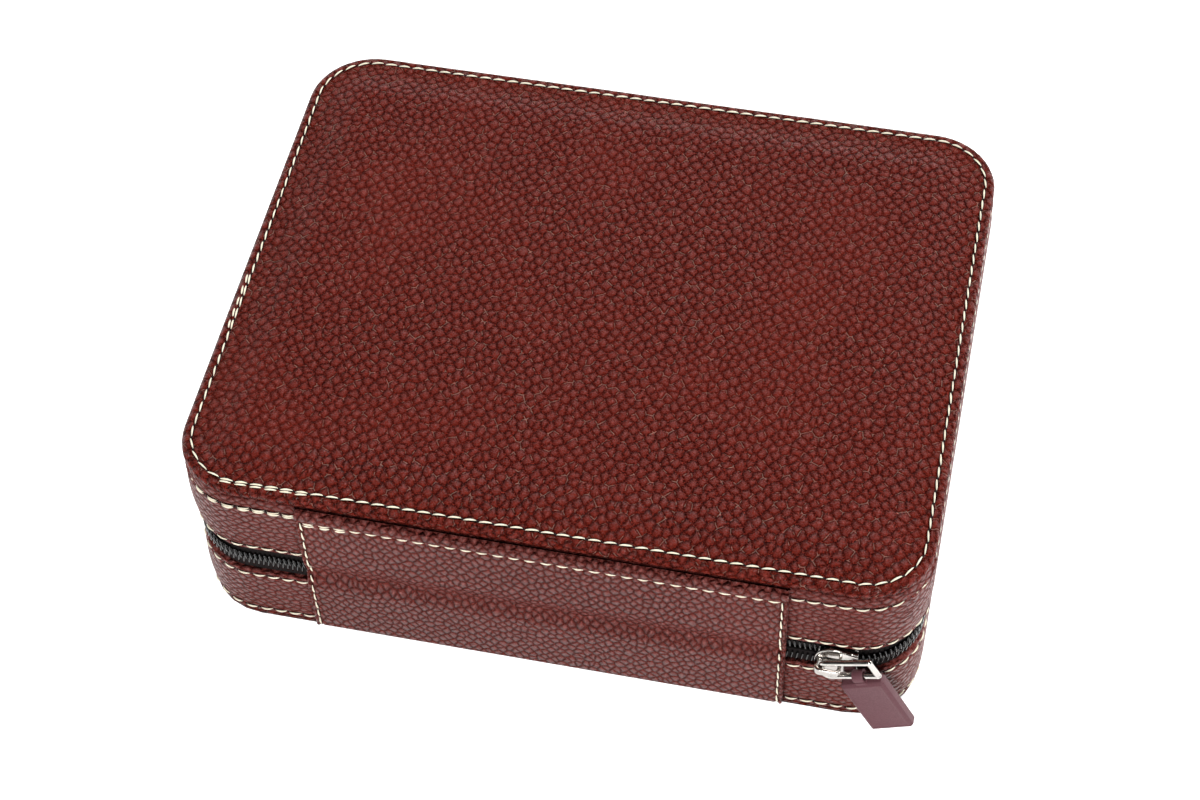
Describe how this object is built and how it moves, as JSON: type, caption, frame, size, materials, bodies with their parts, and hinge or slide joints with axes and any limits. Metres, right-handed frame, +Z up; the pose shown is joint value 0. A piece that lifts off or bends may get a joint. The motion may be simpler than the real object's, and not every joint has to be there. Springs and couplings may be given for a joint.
{
  "type": "watch travel case",
  "caption": "Rectangular zip-round watch travel case: padded leather lid hinged on a stitched spine, coil zip with slider and pull tab, divided tray with removable watch pillows.",
  "frame": {"origin": "centre of the base's flat bottom face", "axes": "+X along the spine and the case's long side, to the right seen from the spine; +Y from the spine towards the opening side; +Z up, out of the lid's top"},
  "size_m": [0.2013, 0.1631, 0.0639],
  "materials": {
    "panel_leather": "pebble-grained, semi-gloss",
    "side_leather": "pebble-grained, semi-gloss",
    "board": "matte",
    "lining": "soft velvet",
    "foam": "open-cell foam",
    "zip_tape": "woven",
    "zip_coil": "nylon, slight shine",
    "slider_metal": "polished nickel",
    "tab_plastic": "satin",
    "pillow_suede": "soft suede"
  },
  "bodies": {
    "base": {"zip_tape_lower": "zip_tape", "zip_coil_lower": "zip_coil", "zip_coil_lower_front": "zip_coil", "spine_cover": "side_leather", "spine_lining": "lining", "base_side_leather": "side_leather", "base_wall_board": "board", "base_wall_lining": "lining", "base_bottom_leather": "panel_leather", "base_bottom_board": "board", "base_floor_lining": "lining", "tray_frame": "lining", "tray_long_divider": "lining", "tray_cross_divider": "lining"},
    "lid": {"lid_top_leather": "panel_leather", "lid_top_foam": "foam", "lid_top_board": "board", "lid_wall_board": "board", "lid_side_leather": "side_leather", "lid_wall_lining": "lining", "lid_cushion": "lining", "zip_tape_upper": "zip_tape", "zip_coil_upper": "zip_coil", "zip_tape_upper_front": "zip_tape", "zip_coil_upper_front": "zip_coil"},
    "slider": {"slider_body": "slider_metal"},
    "ring": {"pull_ring": "slider_metal"},
    "tab": {"pull_tab": "tab_plastic"},
    "pillow_1": {"watch_pillow_1": "pillow_suede"},
    "pillow_2": {"watch_pillow_2": "pillow_suede"},
    "pillow_3": {"watch_pillow_3": "pillow_suede"},
    "pillow_4": {"watch_pillow_4": "pillow_suede"}
  },
  "joints": [
    {"name": "lid_hinge", "type": "hinge", "parent": "base", "child": "lid", "pos_m": [0, -0.082, 0.03], "axis": [1, 0, 0], "range_deg": [0, 135], "deforming": ["spine_cover", "spine_lining", "zip_tape_upper_front", "zip_coil_upper_front"]},
    {"name": "slider_slide", "type": "slide", "parent": "base", "child": "slider", "axis": [-1, 0, 0], "range_m": [0, 0.007], "deforming": ["zip_coil_lower_front"]},
    {"name": "ring_swing", "type": "hinge", "parent": "slider", "child": "ring", "pos_m": [0.0757, -0.0821, 0.0262], "axis": [0, 0, 1], "range_deg": [-90, 0]},
    {"name": "tab_swing", "type": "hinge", "parent": "ring", "child": "tab", "pos_m": [0.08541, -0.0821, 0.02609], "axis": [0.8957, 0, 0.4446], "range_deg": [-95, 0]},
    {"name": "pillow_1_lift", "type": "slide", "parent": "base", "child": "pillow_1", "axis": [0, 0, 1], "range_m": [0, 0.009]},
    {"name": "pillow_2_lift", "type": "slide", "parent": "base", "child": "pillow_2", "axis": [0, 0, 1], "range_m": [0, 0.009]},
    {"name": "pillow_3_lift", "type": "slide", "parent": "base", "child": "pillow_3", "axis": [0, 0, 1], "range_m": [0, 0.009]},
    {"name": "pillow_4_lift", "type": "slide", "parent": "base", "child": "pillow_4", "axis": [0, 0, 1], "range_m": [0, 0.009]}
  ]
}
